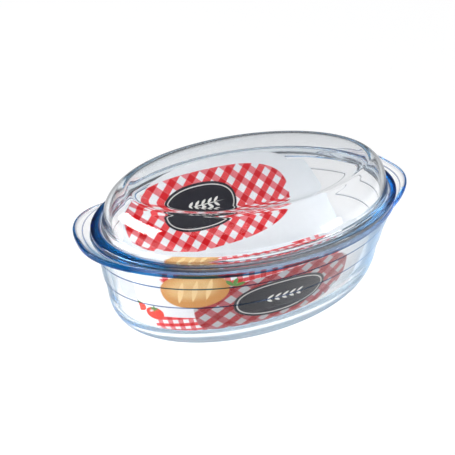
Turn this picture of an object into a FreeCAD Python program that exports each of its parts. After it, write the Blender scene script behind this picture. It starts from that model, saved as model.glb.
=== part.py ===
"""Covered oval casserole dish in pressed glass, with its two printed retail cards.

All sizes are in millimetres. X runs along the dish, Y across it and Z up.
The origin is at the middle of the flat base. The front is -Y.
Every oval is an ellipse given by its half length along X and its half width along Y.
"""
import os

import FreeCAD
import Part
from math import cos, pi, radians, sin, tan

# --- Dish: the rim and the wall ---
RIM_HALF_LENGTH = 151.8
RIM_HALF_WIDTH = 100.0
DISH_HEIGHT = 90.0
RIM_OVERHANG_AT_ENDS = 2.1
RIM_OVERHANG_AT_SIDES = 3.1
RIM_DEPTH = 6.5
RIM_ROUNDING = 2.0
WALL_THICKNESS = 4.6
WALL_DRAFT_AT_ENDS = 0.068
WALL_DRAFT_AT_SIDES = 0.166
STEP_OUT = 1.1
UPPER_STEP_HEIGHT = 70.7
LOWER_STEP_HEIGHT = 48.4

# --- Dish: the base ---
BASE_CORNER_HEIGHT = 30.8
BASE_CORNER_REACH_AT_ENDS = 15.1
BASE_CORNER_REACH_AT_SIDES = 8.6
FLOOR_THICKNESS = 6.0
INNER_CORNER_HEIGHT = 22.0
INNER_CORNER_REACH = 16.0

# --- Dish: the two ears ---
EAR_REACH = 13.2
EAR_WIDTH_SHARE = 0.803
EAR_FULLNESS = 2.5
EAR_THICKNESS = 5.0
EAR_TILT_DEG = 28.8
EAR_BEAD_WIDTH = 5.5
EAR_RECESS_DEPTH = 0.8
EAR_RECESS_FROM_RIM = 1.6

# --- Lid ---
SEAT_GAP = 0.3
LID_EDGE_INSET = 0.6
LID_FLANGE_THICKNESS = 5.0
LID_EDGE_ROUNDING = 1.6
LID_FOOT_RADIUS = 6.0
LID_FLANGE_WIDTH_AT_ENDS = 12.2
LID_FLANGE_WIDTH_AT_SIDES = 7.4
LID_RISE = 37.2
LID_LEAN_AT_ENDS = 20.2
LID_LEAN_AT_SIDES = 19.4
LID_BULGE_LEAN_AT_ENDS = 0.1
LID_BULGE_LEAN_AT_SIDES = 6.3
LID_BULGE_BELOW_TOP = 7.6
LID_WALL_THICKNESS = 4.5
LID_RIB_DEPTH = 3.0
LID_RIB_THICKNESS = 5.2
LID_RIB_CLEARANCE = 1.0

# --- Printed cards ---
CARD_THICKNESS = 0.8
CARD_GAP = 0.3
FRONT_CARD_START_DEG = 203.0
FRONT_CARD_END_DEG = 302.0
FRONT_CARD_TOP_BELOW_RIM = 5.0
FRONT_CARD_FOOT_REACH = 10.2
FRONT_CARD_FLAP_WIDTH = 18.0
BACK_CARD_LEAN_DEG = 60.0
BACK_CARD_FOOT_FROM_MOUTH = 73.3
BACK_CARD_SHOULDER_HEIGHT = 84.0
BACK_CARD_TAB_RISE = 22.0
BACK_CARD_TAB_HALF_WIDTH = 83.0

ARC_STEPS = 8
EAR_OUTLINE_POINTS = 64


def oval_wire(half_length, half_width, z):
    """A closed ellipse at height z."""
    curve = Part.Ellipse(FreeCAD.Vector(0, 0, z), half_length, half_width)
    return Part.Wire([curve.toShape()])


def oval_stack(sections):
    """A solid through a stack of ovals, each given as (half length, half width, z)."""
    wires = [oval_wire(*section) for section in sections]
    return Part.makeLoft(wires, True, True)


def oval_prism(half_length, half_width, z_low, z_high):
    """An upright oval block."""
    return oval_stack([(half_length, half_width, z_low), (half_length, half_width, z_high)])


def turns(count, start=0.0, end=90.0):
    """The angles in radians of an arc's points, ends included."""
    return [radians(start + (end - start) * i / count) for i in range(count + 1)]


def rounded_edge(half_length, half_width, z, radius, upward):
    """Ovals round the outer edge of a plate, from its side face inwards or back."""
    sign = 1.0 if upward else -1.0
    arc = []
    for angle in turns(ARC_STEPS // 2):
        inset = radius * (1 - cos(angle))
        arc.append((half_length - inset, half_width - inset, z + sign * radius * (sin(angle) - 1)))
    return arc if upward else arc[::-1]


# Sizes that follow from the ones above.
WALL_TOP_Z = DISH_HEIGHT - RIM_DEPTH
WALL_TOP_HALF_LENGTH = RIM_HALF_LENGTH - RIM_OVERHANG_AT_ENDS
WALL_TOP_HALF_WIDTH = RIM_HALF_WIDTH - RIM_OVERHANG_AT_SIDES
MOUTH_HALF_LENGTH = WALL_TOP_HALF_LENGTH - WALL_THICKNESS
MOUTH_HALF_WIDTH = WALL_TOP_HALF_WIDTH - WALL_THICKNESS
INNER_CORNER_TOP_Z = FLOOR_THICKNESS + INNER_CORNER_HEIGHT
BACK_CARD_FOOT_Y = MOUTH_HALF_WIDTH - BACK_CARD_FOOT_FROM_MOUTH
LID_BOTTOM_Z = DISH_HEIGHT + SEAT_GAP
LID_TOP_Z = LID_BOTTOM_Z + LID_RISE
FLANGE_TOP_Z = LID_BOTTOM_Z + LID_FLANGE_THICKNESS
FLANGE_HALF_LENGTH = RIM_HALF_LENGTH - LID_EDGE_INSET
FLANGE_HALF_WIDTH = RIM_HALF_WIDTH - LID_EDGE_INSET
LID_FOOT_HALF_LENGTH = FLANGE_HALF_LENGTH - LID_FLANGE_WIDTH_AT_ENDS
LID_FOOT_HALF_WIDTH = FLANGE_HALF_WIDTH - LID_FLANGE_WIDTH_AT_SIDES
LID_FOOT_Z = FLANGE_TOP_Z + LID_FOOT_RADIUS
EAR_HALF_LENGTH = RIM_HALF_LENGTH + EAR_REACH
EAR_HALF_WIDTH = RIM_HALF_WIDTH * EAR_WIDTH_SHARE


def wall_inset(z, draft):
    """How far the outer wall has drawn in at height z below the rim, draft and steps together."""
    steps = (z < UPPER_STEP_HEIGHT) + (z < LOWER_STEP_HEIGHT)
    return draft * (WALL_TOP_Z - z) + STEP_OUT * steps


def wall_oval(z):
    """The outer wall's oval at height z."""
    half_length = WALL_TOP_HALF_LENGTH - wall_inset(z, WALL_DRAFT_AT_ENDS)
    half_width = WALL_TOP_HALF_WIDTH - wall_inset(z, WALL_DRAFT_AT_SIDES)
    return (half_length, half_width, z)


def mouth_oval(z, inset=0.0):
    """The smooth inner wall's oval at height z, drawn in by a further inset."""
    foot = wall_oval(BASE_CORNER_HEIGHT)
    share = (DISH_HEIGHT - z) / (DISH_HEIGHT - BASE_CORNER_HEIGHT)
    half_length = MOUTH_HALF_LENGTH - share * (WALL_TOP_HALF_LENGTH - foot[0]) - inset
    half_width = MOUTH_HALF_WIDTH - share * (WALL_TOP_HALF_WIDTH - foot[1]) - inset
    return (half_length, half_width, z)


def dish_outside():
    """The dish filled solid: base, rounded corner, stepped wall and rim bead."""
    corner_top = wall_oval(BASE_CORNER_HEIGHT)
    sections = []
    for angle in turns(ARC_STEPS):
        sections.append((
            corner_top[0] - BASE_CORNER_REACH_AT_ENDS * (1 - sin(angle)),
            corner_top[1] - BASE_CORNER_REACH_AT_SIDES * (1 - sin(angle)),
            BASE_CORNER_HEIGHT * (1 - cos(angle)),
        ))
    for step_z in (LOWER_STEP_HEIGHT, UPPER_STEP_HEIGHT):
        sections += [wall_oval(step_z - STEP_OUT / 2), wall_oval(step_z)]
    sections.append(wall_oval(WALL_TOP_Z))
    bead_foot_z = WALL_TOP_Z + RIM_OVERHANG_AT_ENDS
    sections.append((RIM_HALF_LENGTH, RIM_HALF_WIDTH, bead_foot_z))
    sections += rounded_edge(RIM_HALF_LENGTH, RIM_HALF_WIDTH, DISH_HEIGHT, RIM_ROUNDING, True)
    return oval_stack(sections)


def dish_hollow(inset=0.0):
    """The space inside the dish, open at the rim, or a smaller one that clears the glass by an inset."""
    corner_top = mouth_oval(INNER_CORNER_TOP_Z, inset)
    sections = []
    for angle in turns(ARC_STEPS):
        reach = INNER_CORNER_REACH * (1 - sin(angle))
        sections.append((
            corner_top[0] - reach,
            corner_top[1] - reach,
            FLOOR_THICKNESS + inset + (INNER_CORNER_HEIGHT - inset) * (1 - cos(angle)),
        ))
    mouth = mouth_oval(DISH_HEIGHT, inset)
    sections.append(mouth)
    sections.append((mouth[0], mouth[1], DISH_HEIGHT + RIM_DEPTH))
    return oval_stack(sections)


def ear_outline(inset, z_low, z_high):
    """An upright block on the ears' outline, a superellipse that is fuller than an oval at its ends."""
    points = []
    for angle in turns(EAR_OUTLINE_POINTS, 90.0, 450.0)[:-1]:
        along = abs(cos(angle)) ** (2 / EAR_FULLNESS)
        across = abs(sin(angle)) ** (2 / EAR_FULLNESS)
        x = (EAR_HALF_LENGTH - inset) * (along if cos(angle) > 0 else -along)
        y = (EAR_HALF_WIDTH - inset) * (across if sin(angle) > 0 else -across)
        points.append(FreeCAD.Vector(x, y, z_low))
    curve = Part.BSplineCurve()
    curve.interpolate(points, True)
    face = Part.Face(Part.Wire([curve.toShape()]))
    return face.extrude(FreeCAD.Vector(0, 0, z_high - z_low))


def ear_slope(z_at_rim):
    """A solid funnel that opens upwards at the ears' tilt from the rim's edge."""
    spread = EAR_REACH * 3
    rise = spread * tan(radians(EAR_TILT_DEG))
    return oval_stack([
        (RIM_HALF_LENGTH, RIM_HALF_WIDTH, z_at_rim),
        (RIM_HALF_LENGTH + spread, RIM_HALF_WIDTH + spread, z_at_rim + rise),
    ])


def ears():
    """The two crescent ears: a tilted plate with a raised bead round its edge."""
    low = DISH_HEIGHT - EAR_THICKNESS * 2
    high = DISH_HEIGHT + EAR_REACH
    core_inset = RIM_ROUNDING + RIM_OVERHANG_AT_ENDS
    core = oval_prism(RIM_HALF_LENGTH - core_inset, RIM_HALF_WIDTH - core_inset, low, high)
    plate = ear_outline(0.0, low, high).common(ear_slope(DISH_HEIGHT - EAR_THICKNESS))
    plate = plate.cut(ear_slope(DISH_HEIGHT))
    recess = ear_outline(EAR_BEAD_WIDTH, low, high).common(ear_slope(DISH_HEIGHT - EAR_RECESS_DEPTH))
    kept_length = RIM_HALF_LENGTH + EAR_RECESS_FROM_RIM
    kept_width = RIM_HALF_WIDTH + EAR_RECESS_FROM_RIM
    recess = recess.cut(oval_prism(kept_length, kept_width, low, high))
    return plate.cut(recess).cut(core)


def casserole_dish():
    """The one pressed glass piece that holds the food."""
    return dish_outside().fuse(ears()).cut(dish_hollow())


def lid_wall(thickness):
    """Ovals up the lid's bulging wall to its flat top, drawn in square to the wall by a thickness."""
    lean_ends = LID_LEAN_AT_ENDS - LID_BULGE_LEAN_AT_ENDS
    lean_sides = LID_LEAN_AT_SIDES - LID_BULGE_LEAN_AT_SIDES
    bulge_rise = LID_TOP_Z - LID_BULGE_BELOW_TOP - LID_FOOT_Z
    sections = []
    for step in range(ARC_STEPS + 1):
        share = step / ARC_STEPS
        rise = 2 * share * (1 - share) * bulge_rise + share ** 2 * (bulge_rise + LID_BULGE_BELOW_TOP)
        ends = 2 * share * (1 - share) * LID_BULGE_LEAN_AT_ENDS + share ** 2 * LID_LEAN_AT_ENDS
        sides = 2 * share * (1 - share) * LID_BULGE_LEAN_AT_SIDES + share ** 2 * LID_LEAN_AT_SIDES
        run_in = (1 - share) * (LID_BULGE_LEAN_AT_ENDS + LID_BULGE_LEAN_AT_SIDES) / 2
        run_in += share * (lean_ends + lean_sides) / 2
        run_up = (1 - share) * bulge_rise + share * LID_BULGE_BELOW_TOP
        run = (run_in ** 2 + run_up ** 2) ** 0.5
        inward = thickness * run_up / run
        downward = thickness * run_in / run
        sections.append((
            LID_FOOT_HALF_LENGTH - ends - inward,
            LID_FOOT_HALF_WIDTH - sides - inward,
            LID_FOOT_Z + rise - downward,
        ))
    return sections


def lid_outside():
    """The lid filled solid: flange, foot, bulging wall and flat top."""
    sections = rounded_edge(FLANGE_HALF_LENGTH, FLANGE_HALF_WIDTH, LID_BOTTOM_Z, LID_EDGE_ROUNDING, False)
    sections += rounded_edge(FLANGE_HALF_LENGTH, FLANGE_HALF_WIDTH, FLANGE_TOP_Z, LID_EDGE_ROUNDING, True)
    for angle in turns(ARC_STEPS // 2)[:-1]:
        reach = LID_FOOT_RADIUS * (1 - sin(angle))
        sections.append((
            LID_FOOT_HALF_LENGTH + reach,
            LID_FOOT_HALF_WIDTH + reach,
            FLANGE_TOP_Z + LID_FOOT_RADIUS * (1 - cos(angle)),
        ))
    return oval_stack(sections + lid_wall(0.0))


def lid_hollow():
    """The space under the lid."""
    wall = lid_wall(LID_WALL_THICKNESS)
    opening = (wall[0][0], wall[0][1], LID_BOTTOM_Z - LID_RIB_DEPTH * 2)
    return oval_stack([opening] + wall)


def lid_rib():
    """The low rib under the flange that keeps the lid from sliding off the dish."""
    rib_length = MOUTH_HALF_LENGTH - LID_RIB_CLEARANCE
    rib_width = MOUTH_HALF_WIDTH - LID_RIB_CLEARANCE
    chamfer = LID_RIB_CLEARANCE
    foot_z = LID_BOTTOM_Z - LID_RIB_DEPTH
    block = oval_stack([
        (rib_length - chamfer, rib_width - chamfer, foot_z),
        (rib_length, rib_width, foot_z + chamfer),
        (rib_length, rib_width, LID_BOTTOM_Z + LID_EDGE_ROUNDING),
    ])
    inside_length = rib_length - LID_RIB_THICKNESS
    inside_width = rib_width - LID_RIB_THICKNESS
    return block.cut(oval_prism(inside_length, inside_width, foot_z - chamfer, LID_BOTTOM_Z))


def lid():
    """The glass lid, which also serves as a shallow dish when turned over."""
    return lid_outside().fuse(lid_rib()).cut(lid_hollow())


def front_card():
    """The printed card that stands round the inside of the front wall, its top edge folded inwards."""
    top_z = DISH_HEIGHT - FRONT_CARD_TOP_BELOW_RIM
    foot_side = INNER_CORNER_REACH - FRONT_CARD_FOOT_REACH
    corner_share = (FRONT_CARD_FOOT_REACH / INNER_CORNER_REACH)
    foot_z = INNER_CORNER_TOP_Z - INNER_CORNER_HEIGHT * (1 - corner_share ** 2) ** 0.5 + CARD_GAP
    corner_top = mouth_oval(INNER_CORNER_TOP_Z)
    foot = (corner_top[0] - foot_side - CARD_GAP, corner_top[1] - foot_side - CARD_GAP, foot_z)
    top = mouth_oval(top_z, CARD_GAP)
    outer = oval_stack([foot, top])
    inner = oval_stack([
        (foot[0] - CARD_THICKNESS, foot[1] - CARD_THICKNESS, foot_z),
        (top[0] - CARD_THICKNESS, top[1] - CARD_THICKNESS, top_z),
    ])
    reach = RIM_HALF_LENGTH * 2
    centre = FreeCAD.Vector(0, 0, 0)
    corners = [centre]
    for angle in turns(3, FRONT_CARD_START_DEG, FRONT_CARD_END_DEG):
        corners.append(FreeCAD.Vector(reach * cos(angle), reach * RIM_HALF_WIDTH / RIM_HALF_LENGTH * sin(angle), 0))
    corners.append(centre)
    wedge = Part.Face(Part.makePolygon(corners)).extrude(FreeCAD.Vector(0, 0, DISH_HEIGHT))
    panel = outer.cut(inner)
    fold_z = top_z - CARD_THICKNESS
    flap_length = top[0] - FRONT_CARD_FLAP_WIDTH
    flap_width = top[1] - FRONT_CARD_FLAP_WIDTH
    flap = outer.common(oval_prism(top[0], top[1], fold_z, top_z))
    flap = flap.cut(oval_prism(flap_length, flap_width, foot_z, DISH_HEIGHT))
    return panel.fuse(flap).common(wedge)


def back_card():
    """The printed card that leans back from the floor to the far wall, with a tab under the lid.

    Its sides and its foot are cut to the inside of the dish, so it stands without falling over.
    """
    lean = radians(BACK_CARD_LEAN_DEG)
    foot_z = FLOOR_THICKNESS + CARD_GAP
    shoulder = (BACK_CARD_SHOULDER_HEIGHT - foot_z) / sin(lean)
    thickness = FreeCAD.Vector(0, 0, CARD_THICKNESS)
    corner = FreeCAD.Vector(-RIM_HALF_LENGTH, 0, 0)
    sheet = Part.makeBox(RIM_HALF_LENGTH * 2, shoulder, CARD_THICKNESS, corner)
    tab_curve = Part.Ellipse(FreeCAD.Vector(0, 0, 0), BACK_CARD_TAB_HALF_WIDTH, BACK_CARD_TAB_RISE)
    tab = Part.Face(Part.Wire([tab_curve.toShape()])).extrude(thickness)
    tab.translate(FreeCAD.Vector(0, shoulder, 0))
    placed = []
    for piece in (sheet, tab):
        piece.rotate(FreeCAD.Vector(0, 0, 0), FreeCAD.Vector(1, 0, 0), BACK_CARD_LEAN_DEG)
        piece.translate(FreeCAD.Vector(0, BACK_CARD_FOOT_Y + CARD_THICKNESS * sin(lean), foot_z))
        placed.append(piece)
    return placed[0].common(dish_hollow(CARD_GAP)).fuse(placed[1]).removeSplitter()


NODES = {
    "casserole_dish": casserole_dish,
    "lid": lid,
    "front_card": front_card,
    "back_card": back_card,
}

os.makedirs("parts", exist_ok=True)
for name, make in NODES.items():
    shape = make()
    box = shape.optimalBoundingBox()
    shape.exportStep(os.path.join("parts", name + ".step"))
    print(name, "solids", len(shape.Solids), "valid", shape.isValid(), "faces", len(shape.Faces),
          "volume cm3", round(shape.Volume / 1000, 1),
          "box", [round(v, 2) for v in (box.XMin, box.YMin, box.ZMin, box.XMax, box.YMax, box.ZMax)])
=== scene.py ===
# %% [markdown]
# # Covered oval casserole in clear pressed glass
# A glass dish with two crescent ears, a flat-topped glass lid, and the two printed cards
# that such a dish is sold with. Every piece is made by a rule: the glass by a stack of
# ovals, the cards by a bent or flat sheet. Lengths in the rules are in millimetres, as a
# glassmaker would write them, and turn into metres once, where the points are made.

# %% Load the frame
import math

import bmesh
import bpy
from mathutils import Matrix, Vector


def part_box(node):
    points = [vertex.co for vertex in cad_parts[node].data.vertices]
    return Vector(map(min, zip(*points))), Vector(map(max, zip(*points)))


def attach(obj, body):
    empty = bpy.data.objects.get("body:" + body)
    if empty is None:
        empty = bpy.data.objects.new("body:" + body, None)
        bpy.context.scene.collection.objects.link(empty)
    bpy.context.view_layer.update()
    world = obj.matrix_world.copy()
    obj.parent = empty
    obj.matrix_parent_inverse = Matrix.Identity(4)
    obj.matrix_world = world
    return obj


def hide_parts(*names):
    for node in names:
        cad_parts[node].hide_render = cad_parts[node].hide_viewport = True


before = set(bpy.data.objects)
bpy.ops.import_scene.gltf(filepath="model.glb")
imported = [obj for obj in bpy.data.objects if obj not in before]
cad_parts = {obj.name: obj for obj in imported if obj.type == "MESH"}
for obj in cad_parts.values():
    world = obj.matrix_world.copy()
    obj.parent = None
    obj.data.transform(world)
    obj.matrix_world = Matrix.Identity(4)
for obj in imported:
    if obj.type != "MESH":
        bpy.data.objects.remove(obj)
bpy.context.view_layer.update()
MM = 0.001
dish_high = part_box("casserole_dish")[1]
lid_low, lid_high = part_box("lid")

# %% [markdown]
# ## A small helper for node sums
# Node trees read badly as long lists of links. `Value` wraps one socket so that sums read
# as sums, and `Graph.add` makes any other node: its settings first, then its inputs. The
# same two classes serve the finishes and the Geometry Nodes tree.

# %% Node helper
class Value:
    """One output socket that takes part in ordinary arithmetic."""

    def __init__(self, graph, socket):
        self.graph, self.socket = graph, socket

    def _math(self, operation, *others):
        return self.graph.math(operation, self, *others)

    def __add__(self, other):
        return self._math("ADD", other)

    def __radd__(self, other):
        return self.graph.math("ADD", other, self)

    def __sub__(self, other):
        return self._math("SUBTRACT", other)

    def __rsub__(self, other):
        return self.graph.math("SUBTRACT", other, self)

    def __mul__(self, other):
        return self._math("MULTIPLY", other)

    def __rmul__(self, other):
        return self.graph.math("MULTIPLY", other, self)

    def __truediv__(self, other):
        return self._math("DIVIDE", other)

    def __rtruediv__(self, other):
        return self.graph.math("DIVIDE", other, self)

    def __pow__(self, other):
        return self._math("POWER", other)

    def __abs__(self):
        return self._math("ABSOLUTE")


class Graph:
    """A node tree, shader or geometry, with short ways to grow it."""

    def __init__(self, tree):
        self.tree = tree

    def fill(self, socket, value):
        if isinstance(value, Value):
            self.tree.links.new(value.socket, socket)
        elif value is not None:
            socket.default_value = value

    def add(self, kind, settings=None, inputs=None, out=0):
        node = self.tree.nodes.new(kind)
        for key, value in (settings or {}).items():
            setattr(node, key, value)
        for key, value in (inputs or {}).items():
            self.fill(node.inputs[key], value)
        return Value(self, node.outputs[out])

    def math(self, operation, *values):
        return self.add("ShaderNodeMath", {"operation": operation}, dict(enumerate(values)))

    def split(self, vector):
        first = self.add("ShaderNodeSeparateXYZ", None, {0: vector})
        return [Value(self, output) for output in first.socket.node.outputs]

    def join(self, x, y, z):
        return self.add("ShaderNodeCombineXYZ", None, {0: x, 1: y, 2: z})

    def mix(self, factor, first, second):
        settings = {"data_type": "RGBA", "clamp_factor": True}
        return self.add("ShaderNodeMix", settings, {0: factor, 6: first, 7: second}, out=2)

    def soft_step(self, value, low, high):
        settings = {"interpolation_type": "SMOOTHSTEP"}
        return self.add("ShaderNodeMapRange", settings, {0: value, 1: low, 2: high})

    def noise(self, place, scale, detail):
        return self.add("ShaderNodeTexNoise", None, {"Vector": place, "Scale": scale, "Detail": detail})

    def end(self, kind, inputs):
        """A node that nothing follows, such as the output of a material."""
        node = self.tree.nodes.new(kind)
        for key, value in inputs.items():
            self.fill(node.inputs[key], value)


def empty_finish(name):
    """A material with no nodes yet, and the graph that fills it."""
    material = bpy.data.materials.new(name)
    material.use_nodes = True
    material.node_tree.nodes.clear()
    return material, Graph(material.node_tree)


print("node helper ready")

# %% [markdown]
# ## Clear pressed glass
# Borosilicate glass looks colourless through a wall but blue or grey along a long path, as
# in the edge of a flange. Only a weak blue absorption in the body of the glass gives that by
# itself. On top of it two colours are painted into the surface: a painted dark blue where
# `edge` marks a thick edge, a step line or the lid's seat on the rim, as painted shade and
# painted depth colour, and a painted shade where the surface is seen at a slant, so that
# every outline reads dark.
# Pressing leaves the surface very slightly uneven, which a faint bump gives. The underside
# that the dish stands on is stippled by its mould, so it scatters light. The dish has less
# glare than the lid, because its upright wall would otherwise mirror the bright table and
# veil the front card. The transparent mix on shadow rays lets the lamps reach the cards.

# %% Glass finish
GLASS_CLEAR = (0.995, 0.985, 0.985, 1.0)
# The edge colour is a painted dark blue: painted shade and painted depth colour on marked edges.
GLASS_EDGE_PAINT = (0.0001, 0.026, 0.16, 1.0)
GLASS_DEPTH_COLOUR = (0.02, 0.58, 0.88, 1.0)
GLASS_SHADOW = (0.955, 0.955, 0.955, 1.0)
GLASS_IOR = 1.474
# Where the painted outline shade starts and is full, by how much the surface slants.
OUTLINE_SHADE_START, OUTLINE_SHADE_FULL = 0.565, 0.80
OUTLINE_SHADE_LOSS_INSIDE = 0.75
EDGE_PAINT_LOSS_INSIDE = 0.8
PRESS_WAVE_HEIGHT = 0.00002
PRESS_WAVE_SCALE = 22.0
CLOUD_SCALE = 9.0
POLISHED, CLOUDED, STIPPLED = 0.004, 0.008, 0.35
STIPPLE_END_Z, STIPPLE_FULL_Z = 0.0012, 0.0003


def glass_finish(name, outline_shade_colour, depth_density, glare):
    material, g = empty_finish(name)
    place = g.add("ShaderNodeTexCoord", out="Object")
    edge = g.add("ShaderNodeAttribute", {"attribute_name": "edge"}, out="Fac")
    waves = g.noise(place, PRESS_WAVE_SCALE, 1.5)
    clouds = g.noise(place, CLOUD_SCALE, 2.0)
    facing = g.add("ShaderNodeLayerWeight", None, {"Blend": 0.5}, out="Facing")
    inside = g.add("ShaderNodeNewGeometry", out="Backfacing")
    # Painted shade: the surface colour turns dark where it is seen at a slant, so outlines read dark.
    painted_outline_shade = g.soft_step(facing, OUTLINE_SHADE_START, OUTLINE_SHADE_FULL) * (1.0 - OUTLINE_SHADE_LOSS_INSIDE * inside)
    outline_shaded = g.mix(painted_outline_shade, GLASS_CLEAR, outline_shade_colour)
    # Painted dark blue where `edge` marks a thick edge, a step line or the lid's seat, less on the inside.
    painted_edge_dark = edge * (1.0 - EDGE_PAINT_LOSS_INSIDE * inside) * (0.85 + 0.3 * clouds)
    bump = {"Strength": 1.0, "Distance": PRESS_WAVE_HEIGHT, "Height": waves}
    stipple = g.soft_step(g.split(place)[2], STIPPLE_END_Z, STIPPLE_FULL_Z)
    inputs = {
        "Base Color": g.mix(painted_edge_dark, outline_shaded, GLASS_EDGE_PAINT),
        "Roughness": POLISHED + CLOUDED * clouds + STIPPLED * stipple,
        "IOR": GLASS_IOR,
        "Transmission Weight": 1.0,
        "Specular Tint": (glare, glare, glare, 1.0),
        "Normal": g.add("ShaderNodeBump", None, bump),
    }
    body = g.add("ShaderNodeBsdfPrincipled", None, inputs)
    clear = g.add("ShaderNodeBsdfTransparent", None, {"Color": GLASS_SHADOW})
    shadow = g.add("ShaderNodeLightPath", out="Is Shadow Ray")
    surface = g.add("ShaderNodeMixShader", None, {0: shadow, 1: body, 2: clear})
    depth = {"Color": GLASS_DEPTH_COLOUR, "Density": depth_density}
    volume = g.add("ShaderNodeVolumeAbsorption", None, depth)
    g.end("ShaderNodeOutputMaterial", {"Surface": surface, "Volume": volume})
    return material


# For each glass: the colour of its painted outline shade, its absorption and its glare.
DISH_OUTLINE_SHADE, DISH_DEPTH, DISH_GLARE = (0.10, 0.24, 0.40, 1.0), 4.5, 0.1
LID_OUTLINE_SHADE, LID_DEPTH, LID_GLARE = (0.012, 0.015, 0.022, 1.0), 8.0, 0.9
dish_glass = glass_finish("dish_glass_finish", DISH_OUTLINE_SHADE, DISH_DEPTH, DISH_GLARE)
lid_glass = glass_finish("lid_glass_finish", LID_OUTLINE_SHADE, LID_DEPTH, LID_GLARE)
print("glass finishes", dish_glass.name, lid_glass.name)

# %% [markdown]
# ## A stack of ovals
# Both glass pieces are the same rule: one profile, swept round an oval. Each point of the
# profile holds the oval's half length and half width and its height. `reach` says how much
# of the ear's reach the point takes where the ear stands out, `lift` how far it rises
# there, and `edge` how much painted dark blue the surface gets, as painted shade and painted
# depth colour. `ends` is the same but counts only towards the two ends, where the flange is
# widest. The tree turns a plain grid into the shell, welds the seam and the two poles, and
# shades it smooth.

# %% Oval stack tree
ENDS_PAINT_GAIN, ENDS_PAINT_POWER = 1.25, 1.3
EAR_BLEND = 0.012
WELD = 0.000005
TREE_SIZES = ("Rim Half Length", "Rim Half Width", "Ear Half Length", "Ear Half Width", "Ear Fullness")


def oval_stack_tree():
    tree = bpy.data.node_groups.new("oval_stack", "GeometryNodeTree")
    face = tree.interface
    face.new_socket("Profile", in_out="INPUT", socket_type="NodeSocketGeometry")
    face.new_socket("Points Round", in_out="INPUT", socket_type="NodeSocketInt")
    for size in TREE_SIZES:
        face.new_socket(size, in_out="INPUT", socket_type="NodeSocketFloat")
    face.new_socket("Finish", in_out="INPUT", socket_type="NodeSocketMaterial")
    face.new_socket("Shell", in_out="OUTPUT", socket_type="NodeSocketGeometry")
    g = Graph(tree)
    source = tree.nodes.new("NodeGroupInput")
    given = {output.name: Value(g, output) for output in source.outputs if output.name}
    profile = given["Profile"]
    count = g.add("GeometryNodeAttributeDomainSize", {"component": "MESH"}, {0: profile})
    grid_sizes = {"Size X": 1.0, "Size Y": 1.0, "Vertices X": given["Points Round"] + 1, "Vertices Y": count}
    grid = g.add("GeometryNodeMeshGrid", None, grid_sizes)
    u, v, _ = g.split(g.add("GeometryNodeInputPosition"))
    angle = (u + 0.5) * math.tau
    row = g.math("ROUND", (v + 0.5) * (count - 1.0))

    def sample(kind, value):
        settings = {"data_type": kind, "domain": "POINT"}
        node_inputs = {"Geometry": profile, "Index": row}
        node = g.add("GeometryNodeSampleIndex", settings, node_inputs)
        sockets = [s for s in node.socket.node.inputs if s.name == "Value" and s.enabled]
        tree.links.new(value.socket, sockets[0])
        outputs = [s for s in node.socket.node.outputs if s.enabled]
        return Value(g, outputs[0])

    def stored(name):
        return g.add("GeometryNodeInputNamedAttribute", {"data_type": "FLOAT"}, {"Name": name})

    spot = sample("FLOAT_VECTOR", g.add("GeometryNodeInputPosition"))
    half_length, half_width, height = g.split(spot)
    reach = sample("FLOAT", stored("reach"))
    lift = sample("FLOAT", stored("lift"))
    across, along = g.math("COSINE", angle), g.math("SINE", angle)
    # How much painted dark blue each point gets, more towards the two ends.
    edge = sample("FLOAT", stored("edge"))
    edge = edge + sample("FLOAT", stored("ends")) * ENDS_PAINT_GAIN * abs(across) ** ENDS_PAINT_POWER
    rim_x, rim_y = given["Rim Half Length"] * across, given["Rim Half Width"] * along
    power = given["Ear Fullness"]
    ear_x, ear_y = rim_x / given["Ear Half Length"], rim_y / given["Ear Half Width"]
    inside = (abs(ear_x) ** power + abs(ear_y) ** power) ** (1.0 / power)
    stretch = g.math("SMOOTH_MAX", 1.0 / inside - 1.0, 0.0, EAR_BLEND)
    full = given["Ear Half Length"] / given["Rim Half Length"] - 1.0
    share = stretch / g.math("MAXIMUM", full, 0.0001)
    place = g.join(
        half_length * across + rim_x * stretch * reach,
        half_width * along + rim_y * stretch * reach,
        height + lift * share,
    )
    marked = g.add("GeometryNodeStoreNamedAttribute", {"data_type": "FLOAT", "domain": "POINT"},
                   {"Geometry": grid, "Name": "edge", "Value": edge})
    shaped = g.add("GeometryNodeSetPosition", None, {"Geometry": marked, "Position": place})
    welded = g.add("GeometryNodeMergeByDistance", None, {"Geometry": shaped, "Distance": WELD})
    smooth = g.add("GeometryNodeSetShadeSmooth", None, {"Geometry": welded})
    real = g.add("GeometryNodeRealizeInstances", None, {"Geometry": smooth})
    finished = g.add("GeometryNodeSetMaterial", None, {"Geometry": real, "Material": given["Finish"]})
    g.end("NodeGroupOutput", {"Shell": finished})
    return tree


oval_tree = oval_stack_tree()
print("oval stack tree has", len(oval_tree.nodes), "nodes")

# %% [markdown]
# ## From profile to glass
# The profile goes in as a small mesh of points. The tree's result is copied to a plain
# mesh, so nothing live stays on the piece, and the scratch object is thrown away. `placed`
# is used for everything that is put into the scene.

# %% Shell maker
ROUND_POINTS = 320


def placed(name, data):
    """A new object at the origin, for a mesh, a lamp or a camera."""
    holder = bpy.data.objects.new(name, data)
    bpy.context.collection.objects.link(holder)
    return holder


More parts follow.
